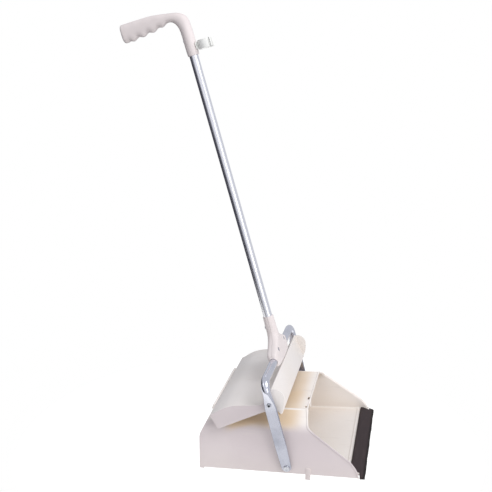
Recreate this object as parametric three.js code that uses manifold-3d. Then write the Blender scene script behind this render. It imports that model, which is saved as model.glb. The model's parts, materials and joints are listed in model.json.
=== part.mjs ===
// Lidded lobby dustpan on a long handle.
//
// Millimetres, +Z up, +X towards the mouth, Y across. The pan's own frame has its origin on the floor
// line of the skirt, under the pivots that the handle swings on. The whole object stands tipped back a
// little, on two lugs beside the pivots and on the rear edge, so it is turned once at the end and moved
// until the middle of its outline is over the origin.
import * as THREE from 'three'
import { mergeVertices } from 'three/addons/utils/BufferGeometryUtils.js'
import Module from 'manifold-3d'

const wasm = await Module()
wasm.setup()

// Driving dimensions
const GAP = 0.35                 // air between two touching pieces
const BEYOND = 250               // how far a cutting tool runs, past every face
const WALL = 2.6                 // moulded wall of the pan and the lid
const PAN_REAR = -160            // rear wall at the floor line
const ROOF_FRONT = 33            // front edge of the roof, over the mouth
const ROOF_TOP = 101
const SHOULDER = 82.5            // height of the side walls under the roof's slopes
const FLOOR = 3                  // underside of the floor, inside the skirt
const HALF_FLOOR = 135.4         // half width of the pan at the skirt
const HALF_SHOULDER = 126.2      // half width at the shoulder
const HALF_FLAT = 88             // half width of the flat part of the roof
const TAPER = 0.000158           // the pan grows this much of its width for each mm towards the mouth
const WALL_LOW = [112.5, 27]     // where the side wall's sloping top edge ends
const RIM_RAISE = 0.9            // bead along the roof's front edge
const LIP_FRONT = 136.5
const LIP_HALF = 139.6           // half width of the lip, in front of the side walls
const LIP_HALF_INSIDE = 132.9    // and between them

const PIVOT_Z = 12
const LEG_LEAN = 11.65           // degrees, backwards
const LEG_WIDTH = 21
const LEG_THICK = 4.6
const LEG_FOOT_Y = 139.6         // middle of the leg at the pivot
const LEG_TOP_Y = 148            // middle of the leg where the bend begins
const LEG_TOE = 7                // leg below the pivot
const BAR_RADIUS = 7.5
const BEND_RADIUS = 17
const BAR_LAP = 14               // round bar that runs on into the flattened leg
const BAR_X = -33
const BAR_Z = 173.5

const HINGE_X = -25.5            // the lid's pins, in the legs
const HINGE_Z = 133
const LID_HALF = 139.4           // half width over the lid's cheeks
const LID_CHEEK = 2.4            // thickness of a cheek
const RIB_Y = 70                 // ribs under the lid's panel
const RIB_THICK = 2

const PIPE_LEAN = 13.67          // degrees, backwards
const PIPE_RADIUS = 8
const PIPE_WALL = 1.2
const PIPE_BOTTOM = 12           // along the pipe, from the crossbar's axis
const PIPE_TOP = 604
const SOCKET_TOP = 73
const SLEEVE_BOTTOM = 563
const GRIP_TOP = 649.4
const GRIP_END = -115.4
const CLIP_MIDDLE = 577.5
const CLIP_HEIGHT = 15.6
const CLIP_RADIUS = 14
const CLIP_REACH = 27
const CLIP_WALL = 2.2
const CLIP_OPENING = 48          // degrees, half of the mouth of the clip
const CLIP_NECK = 10             // width of the neck that holds it

const LUG_X = 36
const LUG_Y = 134.2
const LUG_THICK = 3.4
const LUG_DROP = 10.4            // lug below the skirt
const HEEL_LENGTH = 8
const HEEL_THICK = 3.6
const HEEL_INSET = 2             // heel's middle inside the skirt's edge
const HEEL_DROP = 2.4            // small foot at each rear corner
const STAND_TIP = Math.atan2(LUG_DROP - HEEL_DROP, LUG_X - PAN_REAR)

// Fasteners, all as radii
const PIVOT_BORE = 2.9
const PIVOT_SHANK = 2.4
const WASHER_BORE = 2.75
const LID_PIN_BORE = 2.6
const LID_PIN_SHANK = 2.2
const SCREW_BORE = 2.1
const SCREW_SHANK = 1.75
const SCREW_Y = 30               // the two screws that clamp the bracket round the crossbar
const SCREW_Z = 15
const LOCK_Z = 52                // the screw through the socket and the pipe
const GRIP_SCREW_Z = 590         // the screw through the grip's sleeve and the pipe

const radians = THREE.MathUtils.degToRad

// Finishes
const finish = (color, roughness, metalness) =>
  new THREE.MeshStandardMaterial({ color, roughness, metalness })
const ivory = finish('#e2dbd6', 0.5, 0)
const lidIvory = finish('#e8e6dc', 0.45, 0)
const gripIvory = finish('#ded5d2', 0.5, 0)
const clipIvory = finish('#dfe0d6', 0.45, 0)
const lipBrown = finish('#3f3638', 0.75, 0)
const chrome = finish('#aeb3c2', 0.2, 1)
const aluminium = finish('#b9bdc6', 0.35, 1)
const zinc = finish('#9a9ca3', 0.35, 1)

// Solids and booleans
function solid(geometry) {
  const bare = geometry.index ? geometry.toNonIndexed() : geometry.clone()
  bare.deleteAttribute('normal')
  bare.deleteAttribute('uv')
  const merged = mergeVertices(bare, 1e-4)
  const corners = []
  const index = merged.index.array
  for (let i = 0; i < index.length; i += 3) {
    const [a, b, c] = [index[i], index[i + 1], index[i + 2]]
    if (a !== b && b !== c && c !== a) corners.push(a, b, c)
  }
  return new wasm.Manifold(new wasm.Mesh({
    numProp: 3,
    vertProperties: new Float32Array(merged.attributes.position.array),
    triVerts: new Uint32Array(corners),
  }))
}

function piece(name, body, material) {
  const result = body.getMesh()
  const geometry = new THREE.BufferGeometry()
  geometry.setAttribute('position', new THREE.BufferAttribute(new Float32Array(result.vertProperties), 3))
  geometry.setIndex(new THREE.BufferAttribute(new Uint32Array(result.triVerts), 1))
  geometry.computeVertexNormals()
  const made = new THREE.Mesh(geometry, material)
  made.name = name
  return made
}

const join = (first, ...others) => others.reduce((whole, next) => whole.add(next), first)
const cut = (first, ...tools) => tools.reduce((whole, tool) => whole.subtract(tool), first)

// A closed outline through corners [x, y, radius]; a corner with a radius is rounded.
function outline(corners) {
  const shape = new THREE.Shape()
  const towards = (from, to, distance) => {
    const length = Math.hypot(to[0] - from[0], to[1] - from[1])
    const share = distance / length
    return [from[0] + (to[0] - from[0]) * share, from[1] + (to[1] - from[1]) * share]
  }
  corners.forEach((corner, i) => {
    const before = corners[(i + corners.length - 1) % corners.length]
    const after = corners[(i + 1) % corners.length]
    const radius = corner[2] ?? 0
    const enter = towards(corner, before, radius)
    const leave = towards(corner, after, radius)
    if (i === 0) shape.moveTo(...enter)
    else shape.lineTo(...enter)
    if (radius > 0) shape.quadraticCurveTo(corner[0], corner[1], ...leave)
  })
  shape.closePath()
  return shape
}

function extrude(shape, depth, curveSegments = 5) {
  return new THREE.ExtrudeGeometry(shape, { depth, bevelEnabled: false, curveSegments })
}

// A side view (x, z) carried across from y0 to y1.
function acrossY(corners, y0, y1, segments) {
  const geometry = extrude(outline(corners), y1 - y0, segments)
  geometry.rotateX(Math.PI / 2)
  geometry.translate(0, y1, 0)
  return solid(geometry)
}

// A front view (y, z) carried along from x0 to x1.
function alongX(corners, x0, x1, segments) {
  const geometry = extrude(outline(corners), x1 - x0, segments)
  const turn = new THREE.Matrix4()
  turn.makeBasis(new THREE.Vector3(0, 1, 0), new THREE.Vector3(0, 0, 1), new THREE.Vector3(1, 0, 0))
  geometry.applyMatrix4(turn)
  geometry.translate(x0, 0, 0)
  return solid(geometry)
}

function block(x0, x1, y0, y1, z0, z1) {
  const geometry = new THREE.BoxGeometry(x1 - x0, y1 - y0, z1 - z0)
  geometry.translate((x0 + x1) / 2, (y0 + y1) / 2, (z0 + z1) / 2)
  return solid(geometry)
}

// A round bar along Y between y0 and y1.
function barY(radius, x, z, y0, y1, sides = 24) {
  const geometry = new THREE.CylinderGeometry(radius, radius, y1 - y0, sides)
  geometry.translate(x, (y0 + y1) / 2, z)
  return solid(geometry)
}

// A turned piece about Z from a closed half profile of [radius, z].
function turned(profile, sides = 28) {
  return solid(new THREE.LatheGeometry(profile.map(([r, z]) => new THREE.Vector2(r, z)), sides)
    .rotateX(Math.PI / 2))
}

// Both sides: the same corners with y taken as it is and mirrored.
const mirrored = (halfCorners) =>
  [...halfCorners, ...halfCorners.slice().reverse().map(([y, z, radius]) => [-y, z, radius])]

// The pan: a hipped, slope-fronted tray with a roof over its rear two thirds.
function panBody() {
  const hip = mirrored([
    [HALF_FLOOR, 0], [HALF_SHOULDER, SHOULDER, 12], [HALF_FLAT, ROOF_TOP, 5],
  ])
  const side = [
    [PAN_REAR, 0], [PAN_REAR + 0.7, 60, 6], [-137, ROOF_TOP, 4], [ROOF_FRONT, ROOF_TOP],
    [ROOF_FRONT + 5, SHOULDER, 4], [...WALL_LOW, 4], [122, 14, 3], [126, 0],
  ]
  const outer = acrossY(side, -BEYOND, BEYOND).intersect(alongX(hip, -BEYOND, BEYOND))

  const innerHip = mirrored([
    [HALF_FLOOR - WALL, 0], [HALF_SHOULDER - WALL, SHOULDER - 1, 10], [HALF_FLAT - 1, ROOF_TOP - WALL, 4],
  ])
  const innerSide = [
    [PAN_REAR + WALL, FLOOR + WALL, 5], [PAN_REAR + WALL + 0.7, 59, 6], [-135.5, ROOF_TOP - WALL, 4],
    [BEYOND, ROOF_TOP - WALL], [BEYOND, FLOOR], [126, FLOOR], [108, FLOOR + WALL],
  ]
  const inside = acrossY(innerSide, -BEYOND, BEYOND).intersect(alongX(innerHip, -BEYOND, BEYOND + 1))
  const under = block(PAN_REAR + WALL, 107, WALL - HALF_FLOOR, HALF_FLOOR - WALL, -BEYOND, FLOOR)

  // Rims: a bead along the roof's front edge, and a raised stop along the rear
  const roofBead = acrossY([
    [ROOF_FRONT - 3, ROOF_TOP - 2], [ROOF_FRONT - 3, ROOF_TOP + RIM_RAISE],
    [ROOF_FRONT + 0.6, ROOF_TOP + RIM_RAISE], [ROOF_FRONT + 0.6, ROOF_TOP - 2],
  ], -HALF_FLAT, HALF_FLAT)
  const rearRim = acrossY([
    [-141.5, 93], [-143.5, 94.5], [-140.5, 102.4, 1], [-136.8, 102.4, 1], [-136, 99.5],
  ], -HALF_FLAT - 3, HALF_FLAT + 3, 3)

  // Feet: a lug beside each pivot and a heel at each rear corner
  const feet = []
  for (const hand of [-1, 1]) {
    const lug = acrossY([
      [LUG_X - 4.5, -LUG_DROP - 1], [LUG_X + 4.5, -LUG_DROP - 1], [LUG_X + 5.5, 11, 2], [LUG_X - 3, 11, 2],
    ], -LUG_THICK / 2, LUG_THICK / 2, 3).translate(0, hand * LUG_Y, 0)
    const heel = block(PAN_REAR, PAN_REAR + HEEL_LENGTH, -HEEL_THICK / 2, HEEL_THICK / 2,
      -HEEL_DROP - 1, FLOOR).translate(0, hand * (HALF_FLOOR - HEEL_INSET), 0)
    feet.push(lug, heel)
  }

  // Openings: pivot holes, and two small slots beside the roof's front edge
  const pivots = barY(PIVOT_BORE, 0, PIVOT_Z, -BEYOND, BEYOND, 16)
  const slots = [[-40, 9], [-77, 6]].map(([y, length]) =>
    block(ROOF_FRONT - 6, ROOF_FRONT - 3.4, y - length / 2, y + length / 2, SHOULDER, BEYOND))

  // The feet stand flat once the pan is tipped back
  const ground = block(-BEYOND, BEYOND, -BEYOND, BEYOND, -BEYOND, 0)
    .rotate([0, THREE.MathUtils.radToDeg(STAND_TIP), 0])
    .translate(LUG_X, 0, -LUG_DROP)

  const whole = cut(join(cut(outer, inside, under), roofBead, rearRim, ...feet), pivots, ...slots, ground)
  return whole.warp((vertex) => {
    vertex[1] *= 1 + TAPER * vertex[0]
  })
}

// The soft dark strip that meets the floor: a wedge that stands in front of the side walls.
function lipStrip() {
  const wedge = acrossY([
    [108.6, 6.2], [110.8, 9.8, 1], [114, 9.6], [LIP_FRONT - 0.8, 2.6, 0.8], [LIP_FRONT, -0.9, 0.8],
    [127, -1.2], [126.5, 3.4],
  ], -LIP_HALF, LIP_HALF, 3)
  const notches = [-1, 1].map((hand) => {
    const [inner, outer] = [hand * LIP_HALF_INSIDE, hand * BEYOND].sort((a, b) => a - b)
    return block(-BEYOND, 127, inner, outer, -BEYOND, BEYOND)
  })
  return cut(wedge, ...notches)
}

// The lid: a cranked panel, a front band that stands up from it, and a cheek at each end.
function lid() {
  const panel = acrossY([
    [-133.5, 102.2], [-106, 117.6, 6], [-90, 122.4, 6], [-14, 124.2], [-14, 126.8], [-90, 125, 6],
    [-107.5, 120.2, 6], [-134.8, 104.6],
  ], -LID_HALF, LID_HALF, 4)
  const band = acrossY([
    [-6.6, 112.6, 1], [-4.1, 113.6, 1], [-22.6, 158.2, 1], [-25, 157.2, 1],
  ], -LID_HALF, LID_HALF, 3)
  const cheekOutline = [
    [-134.8, 104.6], [-121, 79, 3], [-80, 97], [-36, 116], [-16, 121], [-6.6, 112.6, 1], [-1, 126, 5],
    [0, 150, 8], [-12, 158.4, 4], [-25, 157.2], [-40, 128, 6], [-90, 125, 6], [-107.5, 120.2, 6],
  ]
  const cheeks = [-1, 1].map((hand) =>
    acrossY(cheekOutline, -LID_CHEEK / 2, LID_CHEEK / 2, 4)
      .translate(0, hand * (LID_HALF - LID_CHEEK / 2), 0))
  const ribs = [-1, 1].map((hand) =>
    block(-90, -14, hand * RIB_Y - RIB_THICK / 2, hand * RIB_Y + RIB_THICK / 2, 119, 124))
  const pinHole = barY(LID_PIN_BORE, HINGE_X, HINGE_Z, -BEYOND, BEYOND, 16)
  return cut(join(panel, band, ...cheeks, ...ribs), pinHole)
}

// The U-shaped bar, in its own frame: origin at the pivots, Z along the legs.
function legFrame(x, z) {
  const point = new THREE.Vector2(x, z - PIVOT_Z)
  point.rotateAround(new THREE.Vector2(), -radians(LEG_LEAN))
  return point
}

function frameBar() {
  const bar = legFrame(BAR_X, BAR_Z)
  const legTop = bar.y - BEND_RADIUS
  const path = new THREE.CurvePath()
  const at = (y, z) => new THREE.Vector3(bar.x, y, z)
  const corner = LEG_TOP_Y
  path.add(new THREE.LineCurve3(at(-corner, legTop - BAR_LAP), at(-corner, legTop)))
  path.add(new THREE.QuadraticBezierCurve3(
    at(-corner, legTop), at(-corner, bar.y), at(BEND_RADIUS - corner, bar.y)))
  path.add(new THREE.LineCurve3(at(BEND_RADIUS - corner, bar.y), at(corner - BEND_RADIUS, bar.y)))
  path.add(new THREE.QuadraticBezierCurve3(
    at(corner - BEND_RADIUS, bar.y), at(corner, bar.y), at(corner, legTop)))
  path.add(new THREE.LineCurve3(at(corner, legTop), at(corner, legTop - BAR_LAP)))
  const section = new THREE.Shape().absarc(0, 0, BAR_RADIUS, 0, 2 * Math.PI)
  const tube = solid(new THREE.ExtrudeGeometry(section, {
    extrudePath: path, steps: 60, curveSegments: 12, bevelEnabled: false,
  }))

  const flare = Math.atan2(LEG_TOP_Y - LEG_FOOT_Y, legTop)
  const legs = [-1, 1].map((hand) => {
    const leg = acrossY([
      [-9, -LEG_TOE, LEG_TOE], [9, -LEG_TOE, LEG_TOE], [LEG_WIDTH / 2, 40],
      [LEG_WIDTH / 2, legTop - 8, 8], [-LEG_WIDTH / 2, legTop - 8, 8], [-LEG_WIDTH / 2, 40],
    ], -LEG_THICK / 2, LEG_THICK / 2)
    return leg.rotate([-hand * THREE.MathUtils.radToDeg(flare), 0, 0])
      .translate(0, hand * LEG_FOOT_Y, 0)
  })
  const hinge = legFrame(HINGE_X, HINGE_Z)
  const pivots = barY(PIVOT_BORE, 0, 0, -BEYOND, BEYOND, 16)
  const pinHoles = barY(LID_PIN_BORE, hinge.x, hinge.y, -BEYOND, BEYOND, 16)
  return cut(join(tube, ...legs), pivots, pinHoles)
}

// Rivets and washers of the pivot, and the pins of the lid: all lie along Y.
// A headed pin from its inner end to its outer end; hand is the side it is on.
function headedPin(x, z, hand, shank, inner, outer, head, headThick) {
  const [low, high] = [hand * inner, hand * outer].sort((a, b) => a - b)
  const body = barY(shank, x, z, low, high, 16)
  const crown = head * 0.6
  const [top, bottom] = hand > 0 ? [crown, head] : [head, crown]
  const dome = new THREE.CylinderGeometry(top, bottom, headThick, 24)
    .translate(x, hand * (outer + headThick / 2), z)
  return join(body, solid(dome))
}

function washer(x, z, hand, inner, outer, radius) {
  const [low, high] = [hand * inner, hand * outer].sort((a, b) => a - b)
  return cut(barY(radius, x, z, low, high, 24), barY(WASHER_BORE, x, z, low - 1, high + 1, 16))
}

// The bracket that joins the pipe to the crossbar, in the handle's frame: origin on the crossbar's
// axis, Z along the pipe. It is two shells, front and rear, clamped round the bar by two screws.
function bracketBlank() {
  const wings = alongX(mirrored([
    [52, -11, 2], [56, 2, 2], [54, 15, 4], [16, 33, 6], [11, 46],
  ]), -11, 11, 3)
  const bulge = acrossY([
    [-11, -11, 5], [11, -11, 5], [11, 14, 4], [7, 36], [-7, 36], [-11, 14, 4],
  ], -60, 60, 4)
  const socket = turned([[0, 10], [11.4, 10], [9.9, SOCKET_TOP - 2], [9.4, SOCKET_TOP], [0, SOCKET_TOP]])
  const hollow = join(
    barY(BAR_RADIUS + GAP, 0, 0, -70, 70, 24),
    turned([[0, PIPE_BOTTOM - 1], [PIPE_RADIUS + GAP, PIPE_BOTTOM - 1],
      [PIPE_RADIUS + GAP, SOCKET_TOP + 5], [0, SOCKET_TOP + 5]]),
  )
  return cut(join(wings.intersect(bulge), socket), hollow)
}

// A round bar along X between x0 and x1.
function barX(radius, y, z, x0, x1, sides = 16) {
  const geometry = new THREE.CylinderGeometry(radius, radius, x1 - x0, sides)
  geometry.rotateZ(Math.PI / 2)
  geometry.translate((x0 + x1) / 2, y, z)
  return solid(geometry)
}

function bracketHalf(front) {
  const [rear, fore] = front ? [GAP / 2, BEYOND] : [-BEYOND, -GAP / 2]
  const keep = block(rear, fore, -BEYOND, BEYOND, -BEYOND, BEYOND)
  const screws = [-1, 1].map((hand) => barX(SCREW_BORE, hand * SCREW_Y, SCREW_Z, -BEYOND, BEYOND))
  const heads = [-1, 1].map((hand) => barX(4, hand * SCREW_Y, SCREW_Z, 8.6, BEYOND))
  const lock = barX(SCREW_BORE, 0, LOCK_Z, -BEYOND, BEYOND)
  return cut(bracketBlank().intersect(keep), ...screws, ...heads, lock)
}

function bracketScrew(hand) {
  const shank = barX(SCREW_SHANK, hand * SCREW_Y, SCREW_Z, -7, 9.2)
  const head = barX(3.6, hand * SCREW_Y, SCREW_Z, 9, 11.2, 20)
  return join(shank, head)
}

function socketScrew() {
  return join(barX(SCREW_SHANK, 0, LOCK_Z, -12.4, 5), barX(3.4, 0, LOCK_Z, -14, -12.2, 20))
}

function pipe() {
  const rod = (radius, z0, z1, sides) => turned([[0, z0], [radius, z0], [radius, z1], [0, z1]], sides)
  const outer = rod(PIPE_RADIUS, PIPE_BOTTOM, PIPE_TOP, 32)
  const bore = rod(PIPE_RADIUS - PIPE_WALL, PIPE_BOTTOM - 1, PIPE_TOP + 1, 24)
  const crossBores = [LOCK_Z, GRIP_SCREW_Z].map((z) => barX(SCREW_BORE, 0, z, -BEYOND, BEYOND))
  return cut(outer, bore, ...crossBores)
}

// The grip: an angled hand piece whose sleeve slides over the pipe.
function grip() {
  const fingers = [[-97, 618.5], [-77, 621], [-57, 623.5], [-38, 625]]
  const underside = fingers.flatMap(([u, w]) => [[u - 10, w - 2.2, 3], [u, w + 2.4, 6]])
  const side = [
    [10.2, SLEEVE_BOTTOM], [10.4, 612, 10], [2, 641.5, 16], [-24, 644.5, 10], [-58, GRIP_TOP, 14],
    [GRIP_END, GRIP_TOP, 6], [GRIP_END, 616.4, 4], ...underside, [-28, 627], [-14, 627, 9],
    [-10.6, 600, 10], [-10.2, SLEEVE_BOTTOM],
  ]
  const rounded = alongX(mirrored([[11, 606, 9], [11, GRIP_TOP, 8]]), GRIP_END - 1, 12, 4)
  const hand = acrossY(side, -11, 11, 4).intersect(rounded)
  const sleeve = turned([[0, SLEEVE_BOTTOM], [9.8, SLEEVE_BOTTOM], [10.8, SLEEVE_BOTTOM + 12], [10.8, 618],
    [8, 634], [0, 640]])
  const bore = turned([[0, SLEEVE_BOTTOM - 1], [PIPE_RADIUS + GAP, SLEEVE_BOTTOM - 1],
    [PIPE_RADIUS + GAP, PIPE_TOP + 1], [0, PIPE_TOP + 1]])
  const counterbore = barX(3.8, 0, GRIP_SCREW_Z, -20, -9.4, 20)
  const screwHole = join(barX(SCREW_BORE, 0, GRIP_SCREW_Z, -20, 20), counterbore)
  return cut(join(hand, sleeve), bore, screwHole)
}

function gripScrew() {
  return join(barX(SCREW_SHANK, 0, GRIP_SCREW_Z, -9.8, 4), barX(3.4, 0, GRIP_SCREW_Z, -11.4, -9.7, 20))
}

// The broom clip: an open ring with flared ends, on a short neck.
function broomClip() {
  const low = CLIP_MIDDLE - CLIP_HEIGHT / 2
  const opening = radians(CLIP_OPENING)
  const band = new THREE.Shape()
  band.absarc(CLIP_REACH, 0, CLIP_RADIUS, opening, 2 * Math.PI - opening)
  band.absarc(CLIP_REACH, 0, CLIP_RADIUS - CLIP_WALL, 2 * Math.PI - opening, opening, true)
  band.closePath()
  const raised = (shape) => solid(extrude(shape, CLIP_HEIGHT, 14).translate(0, 0, low))
  const tipX = CLIP_REACH + (CLIP_RADIUS - 1) * Math.cos(opening)
  const tipY = (CLIP_RADIUS - 1) * Math.sin(opening)
  const flares = [-1, 1].map((hand) => raised(outline([
    [tipX - 1.4, hand * (tipY - 1)], [tipX + 4.6, hand * (tipY + 2.6), 0.6],
    [tipX + 3.6, hand * (tipY + 4.4), 0.6], [tipX - 2, hand * (tipY + 1.6)],
  ])))
  const neck = block(11.3, CLIP_REACH - CLIP_RADIUS + CLIP_WALL / 2, -CLIP_NECK / 2, CLIP_NECK / 2,
    low + 2, low + CLIP_HEIGHT - 2)
  return join(raised(band), ...flares, neck)
}

// Assembly
const pan = new THREE.Group()
pan.add(piece('pan_body', panBody(), ivory))
pan.add(piece('lip_strip', lipStrip(), lipBrown))

const legs = new THREE.Group()
legs.position.set(0, 0, PIVOT_Z)
legs.rotation.y = -radians(LEG_LEAN)
legs.add(piece('frame_bar', frameBar(), chrome))

const handle = new THREE.Group()
handle.position.set(BAR_X, 0, BAR_Z)
handle.rotation.y = -radians(PIPE_LEAN)
handle.add(piece('bracket_front', bracketHalf(true), gripIvory))
handle.add(piece('bracket_rear', bracketHalf(false), gripIvory))
handle.add(piece('socket_screw', socketScrew(), zinc))
handle.add(piece('handle_pipe', pipe(), aluminium))
handle.add(piece('grip', grip(), gripIvory))
handle.add(piece('grip_screw', gripScrew(), zinc))
handle.add(piece('broom_clip', broomClip(), clipIvory))

const lidGroup = new THREE.Group()
lidGroup.add(piece('lid', lid(), lidIvory))

const FLARE_SLACK = 0.5           // the flared leg leans this far across a washer's face
const WALL_SLACK = 1.2            // and so does the leaning side wall
const WALL_AT_PIVOT = HALF_FLOOR - (HALF_FLOOR - HALF_SHOULDER) * PIVOT_Z / SHOULDER
for (const [side, hand] of [['near', -1], ['far', 1]]) {
  const legInner = LEG_FOOT_Y - LEG_THICK / 2
  const legOuter = LEG_FOOT_Y + LEG_THICK / 2
  const rivet = headedPin(0, PIVOT_Z, hand, PIVOT_SHANK, 126, legOuter + FLARE_SLACK, 5.6, 2)
  pan.add(piece(`pivot_rivet_${side}`, rivet, zinc))
  const spacer = washer(0, PIVOT_Z, hand, WALL_AT_PIVOT + WALL_SLACK, legInner - GAP - FLARE_SLACK, 7)
  pan.add(piece(`pivot_spacer_${side}`, spacer, zinc))
  const backing = washer(0, PIVOT_Z, hand, 128.8, WALL_AT_PIVOT - WALL - WALL_SLACK, 6)
  pan.add(piece(`backing_washer_${side}`, backing, zinc))
  const lidPin = headedPin(HINGE_X, HINGE_Z, hand, LID_PIN_SHANK, LID_HALF - 5, LEG_TOP_Y + 3.2, 4.2, 1.4)
  lidGroup.add(piece(`lid_pin_${side}`, lidPin, zinc))
  handle.add(piece(`bracket_screw_${side}`, bracketScrew(hand), zinc))
}

const stand = new THREE.Group()
stand.add(pan, legs, lidGroup, handle)
stand.rotation.y = -STAND_TIP
stand.updateMatrixWorld(true)

const extent = new THREE.Box3().setFromObject(stand, true)
const part = new THREE.Group()
part.add(stand)
part.position.set(-(extent.min.x + extent.max.x) / 2, 0, -extent.min.z)
part.updateMatrixWorld(true)

export default part
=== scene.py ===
# %% [markdown]
# # A lidded dustpan on a long handle
# This is the kind of pan that a cleaner carries through a lobby. It is an ivory plastic tray with a
# roof, a lid that tips as the pan is picked up, a U-shaped steel bar that the tray swings on, and an
# aluminium pipe with a grip. Everything is built round the imported model, which is loaded first and
# which fixes every place and size.

# %% Load the frame
import json
import math

import bmesh
import bpy
import numpy as np
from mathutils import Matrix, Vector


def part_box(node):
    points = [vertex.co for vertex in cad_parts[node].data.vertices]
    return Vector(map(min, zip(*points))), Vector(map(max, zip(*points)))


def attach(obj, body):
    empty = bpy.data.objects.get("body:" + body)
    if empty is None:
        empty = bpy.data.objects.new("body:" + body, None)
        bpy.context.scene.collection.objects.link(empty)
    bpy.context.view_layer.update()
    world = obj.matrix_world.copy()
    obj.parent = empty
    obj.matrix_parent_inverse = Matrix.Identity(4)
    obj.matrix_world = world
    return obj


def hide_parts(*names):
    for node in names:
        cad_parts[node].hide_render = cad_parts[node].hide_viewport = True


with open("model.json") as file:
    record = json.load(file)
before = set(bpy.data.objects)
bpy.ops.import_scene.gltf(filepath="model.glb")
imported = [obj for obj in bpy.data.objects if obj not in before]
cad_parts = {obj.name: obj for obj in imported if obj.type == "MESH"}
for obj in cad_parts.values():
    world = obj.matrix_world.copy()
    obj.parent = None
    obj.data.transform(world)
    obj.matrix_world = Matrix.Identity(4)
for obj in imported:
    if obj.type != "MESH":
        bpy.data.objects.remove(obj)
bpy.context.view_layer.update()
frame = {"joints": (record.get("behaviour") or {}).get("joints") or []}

# %% [markdown]
# ## Three drawing boards
# A maker measures each part from its own corner, in millimetres. The pan is measured from the floor
# line under its pivots, the legs from the pivots and the handle from the crossbar's axis. The last
# two lean back, and the whole object is tipped back a little on its feet. One function takes points
# from any board to metres in the frame, and the swing joint says where that is.

# %% From the boards to the frame
MM = 0.001
PIVOT_Z = 12
LUG_X = 36                # the lugs' place beside the pivots
LUG_TO_HEEL = 196
LUG_DROP = 8              # how much lower the lugs reach than the heels
STAND_TIP = math.degrees(math.atan2(LUG_DROP, LUG_TO_HEEL))
PAN = ((0, 0), 0)
LEGS = ((0, PIVOT_Z), 11.65)
HANDLE = ((-33, 173.5), 13.67)
joints = {joint["name"]: joint for joint in frame["joints"]}
pivot = np.array(joints["frame_swing"]["pos_m"])


def leaned(points, degrees):
    """Points turned about the Y axis: x, z = x cos a - z sin a, x sin a + z cos a, so Z leans back."""
    angle = math.radians(degrees)
    x, y, z = np.asarray(points, float).T
    forward = x * math.cos(angle) - z * math.sin(angle)
    up = x * math.sin(angle) + z * math.cos(angle)
    return np.stack([forward, y, up], -1)


def to_frame(points, board):
    """Millimetres on a drawing board to metres in the frame: lean, shift, tip back, shift. Points on
    no board are in the frame's metres already."""
    if board is None:
        return points
    (x, z), lean = board
    on_pan = leaned(points, lean) + (x, 0, z)
    at_pivot = leaned([(0, 0, PIVOT_Z)], STAND_TIP)
    return (leaned(on_pan, STAND_TIP) - at_pivot) * MM + pivot


print("the lip's front corner is at", to_frame([(136.5, 0, -0.9)], PAN)[0].round(4))

# %% [markdown]
# ## The camera
# The view is from a little in front of the pan's side and from about the height of the grip, so the
# handle's lean and the open mouth both show. It is level, so that the lean seen is the object's own.

# %% Camera
def show(thing):
    """Puts an object in the scene and gives it back."""
    bpy.context.scene.collection.objects.link(thing)
    return thing


CAMERA_PLACE = (0.2914, -1.4521, 0.7492)
CAMERA_HEADING = 11.555
CAMERA_DOWN = 13.894
CAMERA_LENS = 61.04
camera_data = bpy.data.cameras.new("camera")
camera_data.lens = CAMERA_LENS
camera = show(bpy.data.objects.new("camera", camera_data))
camera.location = CAMERA_PLACE
camera.rotation_euler = (math.radians(90 - CAMERA_DOWN), 0, math.radians(CAMERA_HEADING))
bpy.context.scene.camera = camera
print("camera at", CAMERA_PLACE, "with a lens of", CAMERA_LENS, "mm")

# %% [markdown]
# ## Grids of points
# Every new surface here is a grid: rows and columns of points worked out at once by numpy, whose
# quads follow from the row and column numbers. Outlines are corners joined by straight lines, and a
# corner with a radius is eased by a parabola, as a moulding's corners are.

# %% Outlines and grids
def rounded(corners, closed=True, steps=6):
    """Corners (x, z, radius) joined in order; each radius r eases its corner by the parabola
    (1-t)^2 a + 2t(1-t) c + t^2 b between points a and b that lie r away from the corner c."""
    spots = [np.array(corner[:2], float) for corner in corners]
    stretches = []
    for i, (corner, spot) in enumerate(zip(corners, spots)):
        at_end = not closed and i in (0, len(corners) - 1)
        if len(corner) < 3 or at_end:
            stretches.append(spot[None])
            continue
        before, after = spots[i - 1], spots[(i + 1) % len(spots)]
        enter = spot + (before - spot) * corner[2] / np.linalg.norm(before - spot)
        leave = spot + (after - spot) * corner[2] / np.linalg.norm(after - spot)
        t = np.linspace(0, 1, steps)[:, None]
        stretches.append((1 - t) ** 2 * enter + 2 * t * (1 - t) * spot + t ** 2 * leave)
    return np.vstack(stretches)


def densified(points, step, closed=False):
    """The same line with points added, so that none is much more than a step from the next."""
    points = np.asarray(points, float)
    ring = np.vstack([points, points[:1]]) if closed else points
    lengths = np.linalg.norm(np.diff(ring, axis=0), axis=1)
    counts = np.maximum(1, np.ceil(lengths / step)).astype(int)
    along = np.concatenate([i + np.arange(n) / n for i, n in enumerate(counts)] + [[len(counts)]])
    if closed:
        along = along[:-1]
    columns = [np.interp(along, np.arange(len(ring)), ring[:, k]) for k in range(ring.shape[1])]
    return np.stack(columns, -1)


def grid(points, wrap=False, caps=False):
    """(points, faces) of a grid of shape (rows, columns, 3). wrap joins the last column to the
    first, and caps closes the first and last rows of a wrapped grid with one face each."""
    rows, columns = points.shape[:2]
    number = np.arange(rows * columns).reshape(rows, columns)
    if wrap:
        number = np.hstack([number, number[:, :1]])
    quads = np.stack([number[:-1, :-1], number[:-1, 1:], number[1:, 1:], number[1:, :-1]], -1)
    faces = quads.reshape(-1, 4).tolist()
    if caps:
        faces.append(number[0, :columns][::-1].tolist())
        faces.append(number[-1, :columns].tolist())
    return points.reshape(-1, 3), faces


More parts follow.
